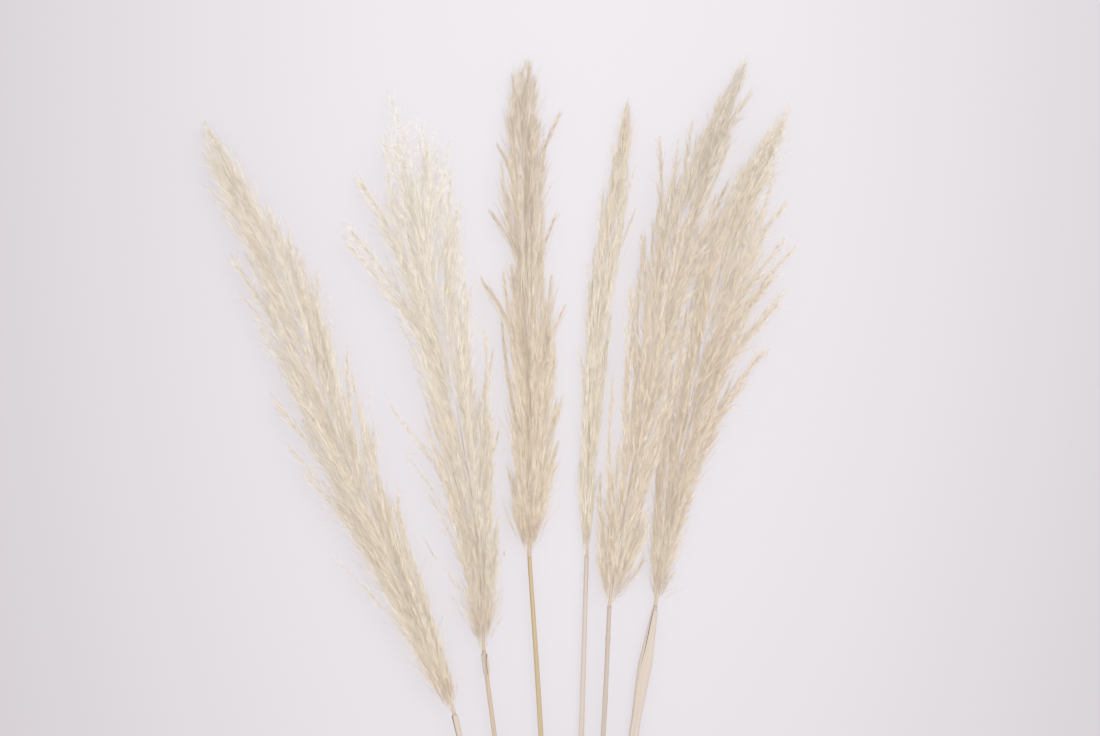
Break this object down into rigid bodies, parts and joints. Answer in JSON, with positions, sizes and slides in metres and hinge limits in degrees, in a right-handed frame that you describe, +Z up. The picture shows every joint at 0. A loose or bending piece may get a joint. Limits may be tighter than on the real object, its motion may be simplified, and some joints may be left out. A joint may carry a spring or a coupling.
{
  "type": "bundle of pampas grass",
  "caption": "Cut bunch of dried, bleached pampas grass, lying flat, with feathery plumes on thin straw stems that fan out from their cut ends.",
  "frame": {"origin": "middle of the bunch's outline, on the surface that it lies on", "axes": "+Y from the cut stem ends towards the plume tips, +Z up off the surface, +X to the right as seen from above"},
  "size_m": [0.5986, 1.1014, 0.0607],
  "materials": {
    "plume_floss": "silky, bleached cream seed hair",
    "stem_straw": "dry straw, satin",
    "dry_leaf": "dry grass leaf, matt and ribbed"
  },
  "bodies": {
    "root": {"stem_1": "stem_straw", "stem_2": "stem_straw", "stem_3": "stem_straw", "stem_4": "stem_straw", "stem_5": "stem_straw", "stem_6": "stem_straw", "plume_1": "plume_floss", "plume_2": "plume_floss", "plume_3": "plume_floss", "plume_4": "plume_floss", "plume_5": "plume_floss", "plume_6": "plume_floss", "sheath_1": "dry_leaf", "sheath_2": "dry_leaf", "sheath_6": "dry_leaf"}
  },
  "joints": []
}
